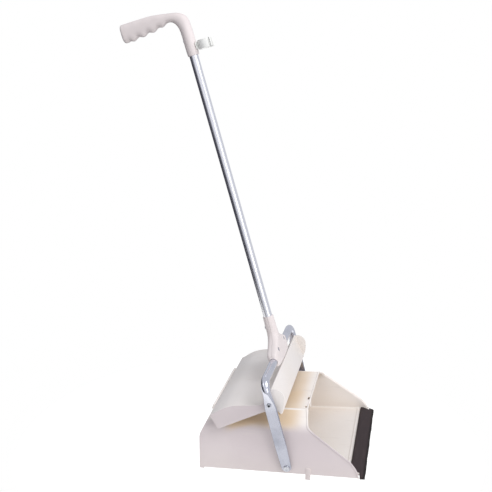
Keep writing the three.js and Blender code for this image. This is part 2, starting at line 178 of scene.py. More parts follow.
def joined(*forms):
    """Several (points, faces) forms as one, with the later forms' corner numbers moved up."""
    starts = np.cumsum([0] + [len(points) for points, _ in forms[:-1]])
    faces = [[int(c + start) for c in face] for (_, some), start in zip(forms, starts) for face in some]
    return np.vstack([points for points, _ in forms]), faces


def round_angles(count):
    """Evenly spaced angles once round a circle."""
    return np.linspace(0, 2 * math.pi, count, endpoint=False)


def across(outline, y0, y1):
    """A side view (x, z) carried straight across from y0 to y1: points (x(s), y, z(s)), closed."""
    ends = [np.insert(outline, 1, y, axis=1) for y in (y0, y1)]
    return grid(np.stack(ends), wrap=True, caps=True)


# %% [markdown]
# ## From points to objects
# Solidify gives a shell its wall and Bevel rounds its edges. Where a real piece is one moulding with
# several features, each feature is finished on its own and their meshes are then put together, so
# that each keeps its own wall and edge radius. Boolean cuts holes with a cutter that is then removed.

# %% Objects, modifiers and cutters
def new_object(name, form, board=PAN, closed=True):
    """A mesh object at the origin from a form on a drawing board. Doubled points are merged, and a
    closed form's faces are turned outwards."""
    points, faces = form
    mesh = bpy.data.meshes.new(name)
    mesh.from_pydata(to_frame(points, board), [], faces)
    work = bmesh.new()
    work.from_mesh(mesh)
    bmesh.ops.remove_doubles(work, verts=work.verts, dist=2e-6)
    bmesh.ops.dissolve_degenerate(work, edges=work.edges, dist=1e-7)
    if closed:
        bmesh.ops.recalc_face_normals(work, faces=work.faces)
    work.to_mesh(mesh)
    work.free()
    return show(bpy.data.objects.new(name, mesh))


def solidify(made, thickness):
    """Gives an open shell its wall, inwards from the surface that was drawn."""
    wall = made.modifiers.new("wall", "SOLIDIFY")
    wall.thickness = thickness * MM
    wall.offset = -1
    wall.use_even_offset = True


def bevel(made, width, segments=2, angle=35):
    """Rounds every edge that is sharper than the angle."""
    edge = made.modifiers.new("edge", "BEVEL")
    edge.width = width * MM
    edge.segments = segments
    edge.limit_method = "ANGLE"
    edge.angle_limit = math.radians(angle)
    edge.miter_outer = "MITER_ARC"


def settle(made):
    """Replaces the object's mesh by what its modifiers make of it."""
    graph = bpy.context.evaluated_depsgraph_get()
    mesh = bpy.data.meshes.new_from_object(made.evaluated_get(graph))
    made.modifiers.clear()
    made.data = mesh


def cut_away(made, *cutters):
    """Takes closed cutter forms out of the object."""
    for form, board in cutters:
        cutter = new_object("cutter", form, board)
        hole = made.modifiers.new("hole", "BOOLEAN")
        hole.operation = "DIFFERENCE"
        hole.solver = "EXACT"
        hole.object = cutter
        settle(made)
        bpy.data.objects.remove(cutter)


def together(name, *parts):
    """One object from several finished ones, which are used up."""
    work = bmesh.new()
    for part in parts:
        settle(part)
        work.from_mesh(part.data)
        bpy.data.objects.remove(part)
    mesh = bpy.data.meshes.new(name)
    work.to_mesh(mesh)
    work.free()
    return show(bpy.data.objects.new(name, mesh))


def finish_piece(made, body, slot, finish, *nodes, smooth=35):
    """Puts a piece on its body in place of its CAD nodes, with its finish and smooth shading."""
    settle(made)
    made.data.shade_smooth()
    made.data.set_sharp_from_angle(angle=math.radians(smooth))
    made.data.materials.append(finish)
    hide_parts(*nodes)
    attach(made, body)
    print(made.name, len(made.data.vertices), "points on", body)


# %% [markdown]
# ## Writing shader maths
# A pattern is easiest to read as an expression, such as `grain * 0.3 + 0.5`. The class below wraps
# one socket, and each operator adds the Math node that does the sum. One method adds every other
# node, and a few short methods name the patterns that are used often.

# %% Sockets that do arithmetic, and finishes
class Field:
    """A number that varies over the surface, held by one output socket."""

    def __init__(self, finish, socket):
        self.finish = finish
        self.socket = socket

    def maths(self, operation, *values):
        return self.finish.add("ShaderNodeMath", {"operation": operation}, *values)

    def __add__(self, other):
        return self.maths("ADD", self, other)

    def __sub__(self, other):
        return self.maths("SUBTRACT", self, other)

    def __rsub__(self, other):
        return self.maths("SUBTRACT", other, self)

    def __mul__(self, other):
        return self.maths("MULTIPLY", self, other)

    def __abs__(self):
        return self.maths("ABSOLUTE", self)

    def above(self, low, high):
        """0 where the field is under low, 1 where it is over high, eased between."""
        settings = {"interpolation_type": "SMOOTHSTEP"}
        return self.finish.add("ShaderNodeMapRange", settings, self, low, high, 0.0, 1.0)

    __radd__ = __add__
    __rmul__ = __mul__


class Nodes:
    """A node tree that is being filled."""

    def __init__(self, tree):
        self.tree = tree

    def fill(self, socket, value):
        """Links a field to a socket, or sets the socket to a plain value."""
        if isinstance(value, Field):
            self.tree.links.new(value.socket, socket)
        else:
            socket.default_value = value

    def add(self, kind, settings, *inputs, output=0, **named):
        """Adds a node: its type, its settings, then its sockets in order or by name."""
        node = self.tree.nodes.new(kind)
        for setting, value in settings.items():
            setattr(node, setting, value)
        pairs = list(zip(node.inputs, inputs))
        pairs += [(node.inputs[socket.replace("_", " ")], value) for socket, value in named.items()]
        for socket, value in pairs:
            self.fill(socket, value)
        return Field(self, node.outputs[output])

    def mix(self, factor, first, second):
        """A colour between two colours."""
        node = self.tree.nodes.new("ShaderNodeMix")
        node.data_type = "RGBA"
        for number, value in ((0, factor), (6, first), (7, second)):
            self.fill(node.inputs[number], value)
        return Field(self, node.outputs[2])


class Finish(Nodes):
    """One material. Values that are the same all over are set on the shader's own sockets."""

    def __init__(self, name, **constants):
        self.material = bpy.data.materials.new(name)
        self.material.use_nodes = True
        super().__init__(self.material.node_tree)
        self.shader = self.tree.nodes["Principled BSDF"]
        for socket, value in constants.items():
            self.shader.inputs[socket.replace("_", " ")].default_value = value

    def place(self, lean=0, stretch=(1, 1, 1)):
        """Object coordinates, leaned back with the piece and stretched along its own axes."""
        spot = self.add("ShaderNodeTexCoord", {}, output=3)
        turn = (0, -math.radians(lean), 0)
        return self.add("ShaderNodeMapping", {"vector_type": "TEXTURE"}, spot, (0, 0, 0), turn, stretch)

    def noise(self, size, detail=3.0, rough=0.5, **place):
        """Cloudy noise whose blotches are about size metres across."""
        sockets = {"Scale": 1 / size, "Detail": detail, "Roughness": rough}
        return self.add("ShaderNodeTexNoise", {}, Vector=self.place(**place), **sockets)

    def height(self, axis=2):
        """One coordinate in metres: how far up (2), across (1) or forward (0) a point is."""
        spot = self.add("ShaderNodeTexCoord", {}, output=3)
        return self.add("ShaderNodeSeparateXYZ", {}, spot, output=axis)

    def facing(self, axis):
        """One coordinate of the surface's normal in the object's own frame."""
        normal = self.add("ShaderNodeTexCoord", {}, output=1)
        return self.add("ShaderNodeSeparateXYZ", {}, normal, output=axis)

    def give(self, **sockets):
        """Links fields to the shader's sockets."""
        for socket, field in sockets.items():
            self.tree.links.new(field.socket, self.shader.inputs[socket.replace("_", " ")])

    def bump(self, field, depth):
        """Raises the surface by the field, depth metres for each 1."""
        sockets = {"Height": field, "Distance": depth, "Strength": 1.0}
        self.give(Normal=self.add("ShaderNodeBump", {}, **sockets))


def colour(red, green, blue):
    """A linear colour with full alpha."""
    return (red, green, blue, 1.0)


# %% [markdown]
# ## Ivory plastics
# The tray, lid, grip and clip are moulded in one ivory that has aged differently on each. The mould
# leaves a very fine grain, so the sheen is broad and soft. The colour drifts slowly, the roughness
# follows it, dust greys the part near the floor, and long faint rubs run the way that it is wiped.
# The outer walls and the rear of the lid's cheeks are given a greyer tone, which is painted side shade.
# The roof and the tops of the walls under the lid are given a tan, which is painted shade, and so is
# part of the tray's deep inside; a line along each fold is left pale, a painted highlight, and the
# tightest corners are painted dark as shade. One function makes all of these, and a piece gives it the
# fields for them.

# %% Where the ivory gets painted side shade and painted shade
LID_EDGE = ((-121, 0, 79), (-36, 0, 116))      # the ends of the lid's sloping lower edge
FOLD_Y = 0.0883                                # the roof's folds; this and the rest are in metres
# Painted highlight: the tan shade is left off within this distance of each fold, so a pale line runs
# along it.
FOLD_HIGHLIGHT = (0.001, 0.003)
LID_SHADE = (0.004, 0.026)                     # a finger's width below the lid's edge
ROOF_UP = (0.078, 0.100)
RIDGE = (0.088, 0.132)
WALL_UP = (0.082, 0.105)


def shelter(finish, reach):
    """How much of the sky within reach is hidden from a point by the piece itself, from 0 to 1."""
    settings = {"samples": 8, "inside": False, "only_local": True}
    return 1 - finish.add("ShaderNodeAmbientOcclusion", settings, Distance=reach, output=1)


def under_the_lid(finish):
    """Where painted shade goes: 1 on the roof and on the top of the walls, down to just below the lid's
    sloping edge. It fades out towards the ridge, is 0 along the folds, which leaves a painted highlight
    there, and is partial deep inside the tray, where the tray hides the sky."""
    up, forward = finish.height(), finish.height(0)
    (x0, _, z0), (x1, _, z1) = to_frame(LID_EDGE, PAN)
    slope = (z1 - z0) / (x1 - x0)
    below_edge = forward * slope - up + (z0 - x0 * slope)
    lidded = (1 - below_edge.above(*LID_SHADE)) * forward.above(x0 - 0.004, x0 + 0.03)
    roof = up.above(*ROOF_UP) * forward.above(x0 - 0.02, x0 + 0.05)
    # Painted highlight: 0 along the folds, where the tan shade is left off.
    off_fold_highlight = abs(abs(finish.height(1)) - FOLD_Y).above(*FOLD_HIGHLIGHT)
    fading = (1 - forward.above(*RIDGE)) * off_fold_highlight
    # Painted shade: this mask puts the tan where the lid's shadow falls and, in part, deep inside the
    # tray.
    return ((roof + lidded) * fading + shelter(finish, 0.14).above(0.2, 0.8) * 0.4).above(0.0, 1.0)


def outside_walls(finish):
    """Where painted side shade goes: 1 where a wall faces outwards, sideways or to the rear. A side wall
    faces outwards where y and the normal's y have one sign."""
    low = 1 - finish.height().above(*WALL_UP)
    sideways = (finish.height(1) * finish.facing(1)).above(0.03, 0.09)
    return low * (sideways + (0 - finish.facing(0)).above(0.4, 0.9))


def outer_cheeks(finish):
    """Where painted side shade goes: 1 on the rear part of the lid's two cheeks, and 0 between them."""
    behind = 1 - finish.height(0).above(0.045, 0.075)
    return behind * (finish.height(1) * finish.facing(1)).above(0.10, 0.13)


# %% The ivory finishes
# Painted side shade: a greyer tone for the walls and cheeks that face away from the light.
SIDE_SHADE_TONE = colour(0.625, 0.555, 0.56)
# Painted shade: the tan that stands for the lid's shadow and the shade inside the tray.
SHADE_TAN = colour(0.76, 0.59, 0.405)
# Painted shade: the near black of the tightest corners.
CORNER_SHADE = colour(0.10, 0.07, 0.05)
RUBBED = colour(0.70, 0.64, 0.60)
DUST = colour(0.55, 0.50, 0.45)


def ivory(name, clean, aged, grain, rub, roughness=0.42, dusty=0.0, side_shade=None, painted_shade=None):
    """Aged ivory: slow drift between two colours, rubs that dull it, grain and dust near the floor; then
    painted side shade, painted tan shade and painted dark corners where the piece gives the fields for
    them."""
    finish = Finish(name, Specular_IOR_Level=0.42)
    drift = finish.noise(0.11, 4.0).above(0.34, 0.68)
    speckle = finish.noise(0.0016, 2.0, 0.6)
    rubs = finish.noise(0.012, 4.0, 0.6, stretch=(5, 1, 0.5)).above(0.57, 0.74)
    tone = finish.mix(drift * 0.8 + speckle * 0.2, clean, aged)
    if side_shade:
        # Painted side shade: the greyer tone where the piece's field says.
        tone = finish.mix(side_shade(finish) * (0.85 + drift * 0.15), tone, SIDE_SHADE_TONE)
    if painted_shade:
        # Painted shade: the tan under the lid and inside the tray.
        tone = finish.mix(painted_shade(finish) * (0.75 + drift * 0.25), tone, SHADE_TAN)
        # Painted shade: the tightest corners darkened by how hidden they are.
        tone = finish.mix(shelter(finish, 0.01).above(0.80, 0.95), tone, CORNER_SHADE)
    worn = finish.mix(rubs * rub, tone, RUBBED)
    dust = (1 - finish.height().above(0.004, 0.05)) * (0.4 + speckle * 0.6) * dusty
    finish.give(Base_Color=finish.mix(dust, worn, DUST))
    finish.give(Roughness=roughness + drift * 0.08 + rubs * 0.14 + speckle * 0.05)
    finish.bump(finish.noise(0.0009, 2.0, 0.7) + finish.noise(0.02, 2.0) * 1.5, grain)
    return finish.material


# The pan: painted side shade on its outer walls, painted shade under the lid, inside the tray and in
# corners.
pan_ivory = ivory("pan_ivory", colour(0.93, 0.88, 0.83), colour(0.89, 0.835, 0.78), 4e-5, 0.30,
                  dusty=0.35, side_shade=outside_walls, painted_shade=under_the_lid)
# The lid: painted side shade on the rear of its cheeks.
lid_ivory = ivory("lid_ivory", colour(0.81, 0.765, 0.73), colour(0.78, 0.73, 0.68), 3e-5, 0.22, 0.38,
                  side_shade=outer_cheeks)
grip_ivory = ivory("grip_ivory", colour(0.79, 0.72, 0.70), colour(0.74, 0.67, 0.65), 6e-5, 0.35, 0.46)
clip_ivory = ivory("clip_ivory", colour(0.86, 0.86, 0.82), colour(0.79, 0.79, 0.75), 3e-5, 0.20, 0.40)

print("ivories", [finish.name for finish in (pan_ivory, lid_ivory, grip_ivory, clip_ivory)])

# %% [markdown]
# ## Metals and rubber
# The U-bar is nickel-plated steel with fingerprints in its shine, and its legs are painted darker than
# its bends, which is painted shade. The pipe is drawn aluminium, and drawing leaves hairlines along it,
# so its noise is stretched forty times along the pipe. The rivets and screws are zinc plated, which is
# greyer and blotchy. The lip is soft dark rubber, matt, paler where grit has scuffed its top, and its
# nose is painted darkest, which is painted shade.

# %% The metals and the rubber
CALF = (0.12, 0.17)            # metres: below this the legs are painted darker, as shade
NOSE = (0.2265, 0.2300)        # metres: in front of this is the lip's nose


def plated(name, bright, dull, roughness, lean, shade_low=0.0):
    """Plated steel: smudges that blur the shine, hairlines along the piece, and a darker low part that
    is painted shade.
    """
    finish = Finish(name, Metallic=1.0)
    smudge = finish.noise(0.022, 3.0, 0.5).above(0.40, 0.75)
    hairline = finish.noise(0.0012, 2.0, lean=lean, stretch=(1, 1, 30))
    # Painted shade: below CALF the colour goes towards the darker one, by the last argument.
    low = 1 - finish.height().above(*CALF)
    dulled_and_shaded = smudge * 0.2 + hairline * 0.15 + low * shade_low
    finish.give(Base_Color=finish.mix(dulled_and_shaded.above(0.0, 1.0), bright, dull))
    finish.give(Roughness=roughness + smudge * 0.07 + hairline * 0.03)
    finish.bump(hairline, 2e-6)
    return finish.material


def drawn(name, bright, dull, lean):
    """Drawn aluminium: fine lines forty times as long as wide, along the pipe."""
    finish = Finish(name, Metallic=1.0)
    lines = finish.noise(0.0011, 3.0, 0.65, lean=lean, stretch=(1, 1, 40))
    cloud = finish.noise(0.05, 3.0).above(0.35, 0.7)
    finish.give(Base_Color=finish.mix(lines * 0.7 + cloud * 0.3, bright, dull))
    finish.give(Roughness=0.25 + lines * 0.04 + cloud * 0.05)
    finish.bump(lines, 3e-6)
    return finish.material


def scuffed_rubber(name):
    """Dark rubber: paler dusty scuffs along it, small nicks, and a nose painted darkest as shade."""
    finish = Finish(name, Specular_IOR_Level=0.16)
    scuff = finish.noise(0.006, 4.0, 0.65, stretch=(0.6, 6, 1)).above(0.46, 0.72)
    dots = finish.add("ShaderNodeTexVoronoi", {}, Vector=finish.place(), Scale=250)
    nicks = dots.above(0.05, 0.22)
    tone = finish.mix(scuff * 0.55, colour(0.040, 0.029, 0.030), colour(0.078, 0.060, 0.060))
    # Painted shade: the nose, in front of NOSE, is darkened towards near black.
    nose = finish.height(0).above(*NOSE)
    finish.give(Base_Color=finish.mix(nose * 0.8, tone, colour(0.010, 0.008, 0.008)))
    finish.give(Roughness=0.66 + scuff * 0.2)
    finish.bump(nicks * 0.3 + scuff * 0.4, 5e-5)
    return finish.material


LEG_LEAN = LEGS[1] + STAND_TIP
PIPE_LEAN = HANDLE[1] + STAND_TIP
# The U-bar's legs get painted shade below CALF.
frame_chrome = plated("frame_chrome", colour(0.74, 0.75, 0.82), colour(0.34, 0.35, 0.41), 0.17,
                      LEG_LEAN, 0.55)
fixings_zinc = plated("fixings_zinc", colour(0.55, 0.56, 0.60), colour(0.36, 0.36, 0.38), 0.24, 0)
pipe_aluminium = drawn("pipe_aluminium", colour(0.96, 0.96, 0.99), colour(0.84, 0.85, 0.90), PIPE_LEAN)
lip_rubber = scuffed_rubber("lip_rubber")
print("metals and rubber", [f.name for f in (frame_chrome, fixings_zinc, pipe_aluminium, lip_rubber)])

# %% [markdown]
# ## The pan's shell
# The tray is one moulding. From the front it is a hip roof: leaning side walls, two slopes and a flat
# top. From the side it is cut off by the mouth's sloping edge. The shell is therefore an arch: the
# first parameter goes over the hip section, the second goes from the rear edge to the mouth's edge,
# and both edges are functions of height. Along the mouth the arch is raised a little, which is the
# stiffening rim that every such moulding has. A flat rear wall closes it, and it widens slightly
# towards the mouth, so that it comes out of its mould.

# %% Shell of the pan
WALL = 2.6
TAPER = 0.000158
RIM_WIDTH = 3.6
RIM_RAISE = 1.3
FOLD_RAISE = 1.0
FOLD_WIDTH = 1.3
FOLD_BELL = 1.2       # the folds' bell curve is highest this far from the sharp corner
GRID_STEP = 4
ROOF_Z = 101
HALF_ROOF = 88
HIP = [(135.4, 0), (126.2, 82.5, 12), (HALF_ROOF, ROOF_Z, 5), (0, ROOF_Z)]
MOUTH_EDGE = [(126, 0), (122, 14, 3), (112.5, 27, 4), (38, 82.5, 4), (33, ROOF_Z)]
REAR_EDGE = [(-160, 0), (-159.3, 60, 6), (-137, ROOF_Z)]


def edge_at(corners, z):
    """How far forward an edge of the side view is at each height."""
    line = rounded(corners, closed=False)
    return np.interp(z, line[:, 1], line[:, 0])


def tapered(form):
    """y grows by TAPER of itself for each millimetre towards the mouth."""
    points, faces = form
    points = points.copy()
    points[:, 1] *= 1 + TAPER * points[:, 0]
    return points, faces


def hip_section():
    """(y, z) from the near skirt over the roof to the far skirt, and how many points are on a side."""
    side = densified(rounded(HIP, closed=False)[:-1], GRID_STEP)
    flat = np.linspace(-side[-1, 0], side[-1, 0], 1 + int(2 * side[-1, 0] / GRID_STEP))
    top = np.stack([flat, np.full(len(flat), ROOF_Z)], -1)
    return np.vstack([side * (-1, 1), top[1:-1], side[::-1]]), len(side)


def arch(section):
    """x = rear(z) + (mouth(z) - rear(z)) t, with the last columns inside the rim and pushed out
    along the section's normal. The rim keeps its width where the mouth's edge slopes. The folds are
    raised by a bell curve of the distance to them, which starts a little in front of the rear."""
    y, z = section.T
    heights = np.linspace(0, ROOF_Z, 203)
    slope = np.gradient(edge_at(MOUTH_EDGE, heights), heights[1])
    steep = np.interp(z, heights, np.abs(slope))
    rear = edge_at(REAR_EDGE, z)
    mouth = edge_at(MOUTH_EDGE, z)
    on_roof = np.abs(y) < HALF_ROOF - 6
    rim = RIM_WIDTH * np.where(on_roof, 1, np.sqrt(1 + steep ** 2))
    share = np.linspace(0, 1, 40)
    inner = rear[:, None] + (mouth - rim - rear)[:, None] * share
    outer = mouth[:, None] - rim[:, None] * [0.75, 0.5, 0.25, 0]
    x = np.hstack([inner, outer])
    raised = RIM_RAISE * np.concatenate([np.zeros(len(share)), [0.75, 1, 1, 0.8]])
    from_fold = np.hypot(np.abs(y) - HALF_ROOF, z - ROOF_Z) - FOLD_BELL
    at_fold = np.exp(-(from_fold / FOLD_WIDTH) ** 2)
    away_from_rear = np.clip((x - rear[:, None]) / 40 - 0.5, 0, 1)
    raised = np.maximum(raised, FOLD_RAISE * at_fold[:, None] * away_from_rear)
    along = np.gradient(section, axis=0)
    normal = np.stack([-along[:, 1], along[:, 0]], -1) / np.linalg.norm(along, axis=1)[:, None]
    full_y = y[:, None] + normal[:, :1] * raised
    full_z = z[:, None] + normal[:, 1:] * raised
    return grid(np.stack([x, full_y, full_z], -1))


def rear_wall(section, side_count):
    """Rows at the section's heights, each straight across between the two sides."""
    side = section[:side_count]
    columns = len(section) - 2 * side_count + 2
    share = np.linspace(1, -1, columns)
    y = -side[:, :1] * share
    x = np.broadcast_to(edge_at(REAR_EDGE, side[:, 1])[:, None], y.shape)
    z = np.broadcast_to(side[:, 1:], y.shape)
    return grid(np.stack([x, y, z], -1))


section, side_count = hip_section()
shell_form = joined(arch(section), rear_wall(section, side_count))
shell = new_object("shell", tapered(shell_form), closed=False)
bevel(shell, 3.5, 4, 50)
solidify(shell, WALL)
bevel(shell, 0.6, 2, 50)
print("the arch has", len(section), "points from skirt to skirt")

# %% [markdown]
# ## The pan's floor, rims and feet
# The floor is a tray inside the skirt. It curves up into the walls, because a sharp inside corner
# would hold dirt, and it slopes down to the lip after a low bead. A rib across the roof's rear edge
# stops the lid. The pan stands on two lugs beside the pivots and two heels at the back, and their
# undersides are flat on the floor.

# %% Floor of the pan
FLOOR_TOP = 5.6
FLOOR_REAR = -157.6
FLOOR_FRONT = 126
RAMP_START = 108
RAMP_DROP = 2.4
COVE = 6
TRAY_WALL = 1.2
TRAY_LAP = 0.4        # how far the tray goes into the walls
WALL_LEAN = 0.0008    # the share by which the tray narrows for each millimetre up
BEAD_X = 104.5
BEAD_HEIGHT = 1.1
BEAD_HALF = 2.2


def cove(distance):
    """A quarter circle's height at a distance from the wall: r - sqrt(r^2 - (r - d)^2)."""
    inside = np.clip(COVE - distance, 0, COVE)
    return COVE - np.sqrt(COVE ** 2 - inside ** 2)


def floor_tray():
    """z(x, y): a plane, coves at the walls, a low round bead, and a ramp down to the lip. The rows
    stand close together in the cove and on the bead, and wide apart on the plane."""
    near_wall = 1 - np.cos(np.linspace(0, math.pi / 2, 8))
    x = np.concatenate([FLOOR_REAR + COVE * near_wall, np.arange(-146, 99, 7),
                        np.arange(101, 109, 0.75), np.linspace(110, FLOOR_FRONT, 7)])
    half = HIP[0][0] - WALL + TRAY_LAP
    to_wall = np.concatenate([COVE * near_wall, np.linspace(COVE + 4, half, 20)])
    y = np.concatenate([to_wall - half, (half - to_wall)[::-1][1:]])
    away = np.concatenate([to_wall, to_wall[::-1][1:]])
    z = np.maximum(cove(x - FLOOR_REAR)[:, None], cove(away)[None])
    bead = BEAD_HEIGHT * np.sqrt(np.clip(1 - ((x - BEAD_X) / BEAD_HALF) ** 2, 0, 1))
    ramp = RAMP_DROP * np.clip((x - RAMP_START) / (FLOOR_FRONT - RAMP_START), 0, 1)
    z = FLOOR_TOP + z + (bead - ramp)[:, None]
    lean = 1 - WALL_LEAN * (z - FLOOR_TOP)
    points = np.stack([np.broadcast_to(x[:, None], z.shape), y[None] * lean, z], -1)
    return grid(points[::-1])


tray = new_object("tray", tapered(floor_tray()), closed=False)
solidify(tray, TRAY_WALL)
print("the tray has", len(tray.data.polygons), "faces before its wall")


# %% Rims, lugs and heels
LUG_BOTTOM = -10.39
LUG = [(31.5, -11.4), (40.5, -11.4), (41.5, 11, 3), (33, 11, 3)]
HEEL = [(-160, -3), (-152, -3), (-152, 4), (-160, 4)]
FEET = ((LUG, 134.2, 1.7), (HEEL, 133.4, 1.8))      # outline, how far out, half thickness
REAR_RIM = [(-141.5, 93), (-143.5, 94.5, 1), (-140.5, 102.4, 1.4), (-136.8, 102.4, 1.4), (-136, 99.5)]
REAR_RIM_HALF = 91


def on_floor(outline):
    """The outline with whatever is below the floor brought up to it."""
    lowest = LUG_BOTTOM + (LUG_X - outline[:, 0]) * LUG_DROP / LUG_TO_HEEL
    return np.stack([outline[:, 0], np.maximum(outline[:, 1], lowest)], -1)


def feet():
    """On each side a leaning lug beside the pivot and a heel at the rear, carried across."""
    forms = []
    for hand in (-1, 1):
        for outline, out, half in FEET:
            forms.append(across(on_floor(rounded(outline)), hand * out - half, hand * out + half))
    return joined(*forms)


rear_rim = across(rounded(REAR_RIM), -REAR_RIM_HALF, REAR_RIM_HALF)
trims = new_object("trims", tapered(joined(rear_rim, feet())))
bevel(trims, 0.7, 3)
print("lug bottoms at", LUG_BOTTOM, "mm on the pan's board")


# %% Openings of the pan
def bar_across(radius, x, z, y0, y1, sides=40):
    """A round bar along Y."""
    angle = round_angles(sides)
    return across(np.stack([x + radius * np.cos(angle), z + radius * np.sin(angle)], -1), y0, y1)


SLOTS = ((-40, 11), (-77, 6))      # where each is across the roof, and how long
SLOT_X = 28
SLOT_HALF = 1.8
POCKET_HALF = 3.4
POCKET_LONGER = 3
PIVOT_BORE = 2.9
BEYOND = 160                       # farther out than any piece


def slot_blocks(half, longer, z0, z1):
    """A block for each slot, from height z0 to z1."""
    x0, x1 = SLOT_X - half, SLOT_X + half
    side = np.array([(x0, z0), (x1, z0), (x1, z1), (x0, z1)])
    return [across(side, y - (length + longer) / 2, y + (length + longer) / 2) for y, length in SLOTS]


slots = [(form, PAN) for form in slot_blocks(SLOT_HALF, 0, 88, 110)]
pivot_hole = (bar_across(PIVOT_BORE, 0, PIVOT_Z, -BEYOND, BEYOND), PAN)
pockets = new_object("pockets", joined(*slot_blocks(POCKET_HALF, POCKET_LONGER, 86, 98.9)))
cut_away(pockets, *slots)
cut_away(shell, *slots, pivot_hole)
pan_body = together("pan_moulding", shell, tray, trims, pockets)
finish_piece(pan_body, "pan", "pan_ivory", pan_ivory, "pan_body")

# %% [markdown]
# ## The lip
# A strip of soft rubber meets the floor, so that dust slides in over it. It is one wedge-shaped
# profile carried across the mouth. Between the side walls it is narrower than in front of them, so
# near its ends the profile's rear part is squeezed forward. Use has made its front edge a bit wavy.

# %% Lip strip
LIP_HALF = 139.6
LIP_NOTCH = 132.9
NOTCH_X = 127
LIP = [(108.6, 6.2, 0.8), (110.8, 9.8, 1), (114, 9.6, 1), (135.7, 2.6, 1), (136.5, -0.9, 0.8),
       (NOTCH_X, -1.2), (126.5, 3.4)]


def lip():
    """The profile (x(s), z(s)) at each y, with x kept in front of the notch line near the ends,
    and the front edge moved by a small sum of two sines of y."""
    profile = densified(rounded(LIP, steps=5), 2.5, closed=True)
    y = np.concatenate([[-LIP_HALF, -LIP_NOTCH - 0.01], np.linspace(-LIP_NOTCH, LIP_NOTCH, 90),
                        [LIP_NOTCH + 0.01, LIP_HALF]])
    x, z = [np.broadcast_to(profile[:, k], (len(y), len(profile))) for k in (0, 1)]
    squeezed = (np.abs(y) > LIP_NOTCH)[:, None] & (x < NOTCH_X)
    z = np.where(squeezed, np.clip(z, 3.4, 5.4), z)
    x = np.where(squeezed, NOTCH_X + (x - NOTCH_X) * 0.01, x)
    front = np.clip((x - 122) / 12, 0, 1)
    wave = 0.22 * np.sin(y / 13) + 0.15 * np.sin(y / 5.3 + 1)
    x = x - front * (0.45 + wave[:, None])
    z = z + front * 0.5 * wave[:, None]
    return grid(np.stack([x, np.broadcast_to(y[:, None], x.shape), z], -1), wrap=True, caps=True)


lip_strip = new_object("lip_wedge", lip())
bevel(lip_strip, 0.4, 2, 50)
finish_piece(lip_strip, "pan", "lip_rubber", lip_rubber, "lip_strip")

# %% [markdown]
# ## The lid
# The lid is a cranked panel with a board standing up along its front and a cheek at each end. Each is
# a side view with round corners, carried across. The cheeks are a hair larger than the panel, as a
# moulding's raised edge is. Two ribs under the panel keep it straight.

# %% Lid
LID_HALF = 139.4
CHEEK = 2.4
PANEL = [(-133.9, 102.6), (-106, 117.6, 8), (-90, 122.4, 8), (-14, 124.2), (-14, 126.6), (-90, 124.8, 8),
         (-107.5, 120, 8), (-134.6, 104.4)]
BAND = [(-6.8, 112.9, 0.8), (-4.3, 113.8, 0.8), (-22.8, 158, 0.9), (-25, 157.1, 0.9)]
CHEEK_EDGE = [(-134.8, 104.6, 1.5), (-121, 79, 4), (-80, 97, 8), (-36, 116, 8), (-16, 121, 4),
              (-6.6, 112.6, 1.5), (-1, 126, 7), (0, 150, 9), (-12, 158.4, 5), (-25, 157.2, 2),
              (-40, 128, 8), (-90, 125, 8), (-107.5, 120.2, 8)]
LID_RIB = [(-90, 119), (-14, 119), (-14, 124.5), (-90, 122.8)]
RIB_Y = 70
RIB_HALF = 1


def lid_forms():
    """Panel, band and ribs inside the cheeks, and the cheeks."""
    inner = LID_HALF - CHEEK + 0.5
    panel = across(rounded(PANEL), -inner, inner)
    band = across(rounded(BAND), -inner, inner)
    rib = rounded(LID_RIB)
    ribs = [across(rib, hand * RIB_Y - RIB_HALF, hand * RIB_Y + RIB_HALF) for hand in (-1, 1)]
    cheek = rounded(CHEEK_EDGE)
    near = across(cheek, -LID_HALF, CHEEK - LID_HALF)
    far = across(cheek, LID_HALF - CHEEK, LID_HALF)
    return [panel, band, *ribs, near, far]


lid_parts = [new_object(f"lid_part_{i}", form) for i, form in enumerate(lid_forms())]
for part in lid_parts:
    bevel(part, 0.7, 3)
lid_piece = together("lid_moulding", *lid_parts)
finish_piece(lid_piece, "lid", "lid_ivory", lid_ivory, "lid")

# %% [markdown]
# ## The U-bar
# The bar is one steel tube, bent twice, whose legs have been pressed flat. Its section is therefore
# always a circle pulled apart: radius r, and a straight stretch of half length k. On the crossbar r is
# 7.5 and k is 0. On the legs r is 2.3 and k is about 8. The sweep carries that section along the bar
# and eases from one to the other just under each bend.

# %% Frame bar
BAR_RADIUS = 7.5
LEG_HALF = 2.3
LEG_FOOT_Y = 139.6
LEG_TOP_Y = 148
BEND = 17
BAR_U = 0.3
BAR_W = 164.84
FOOT_ROUND = 9             # the foot is a half circle about a point a little above the pivot
FOOT_W = 2
LEG_WIDE = 10.5            # half the leg's width, which it reaches at LEG_WIDE_W
LEG_WIDE_W = 40
FLAT_TOP = 112             # where the leg starts to turn round, over ROUND_LENGTH
ROUND_LENGTH = 39.84
HINGE_BORE = 2.6
HINGE = (-25.5, 133)


def bar_path():
    """(y, w) of the bar's middle from the near foot to the far foot: legs that spread a little, two
    quarter circles and the straight crossbar."""
    top = BAR_W - BEND
    round_end = FOOT_W - FOOT_ROUND * np.cos(np.linspace(0, math.pi / 2, 8))
    foot = np.concatenate([round_end, np.linspace(FOOT_W + 3, top, 40)])
    leg = np.stack([-LEG_FOOT_Y - (LEG_TOP_Y - LEG_FOOT_Y) * foot / top, foot], -1)
    turn = np.linspace(0, math.pi / 2, 14)[1:]
    bend = np.stack([-LEG_TOP_Y + BEND * (1 - np.cos(turn)), top + BEND * np.sin(turn)], -1)
    half = np.vstack([leg, bend])
    middle = np.stack([np.linspace(BEND - LEG_TOP_Y, 0, 12)[1:], np.full(11, BAR_W)], -1)
    half = np.vstack([half, middle])
    return np.vstack([half, half[-2::-1] * (-1, 1)])


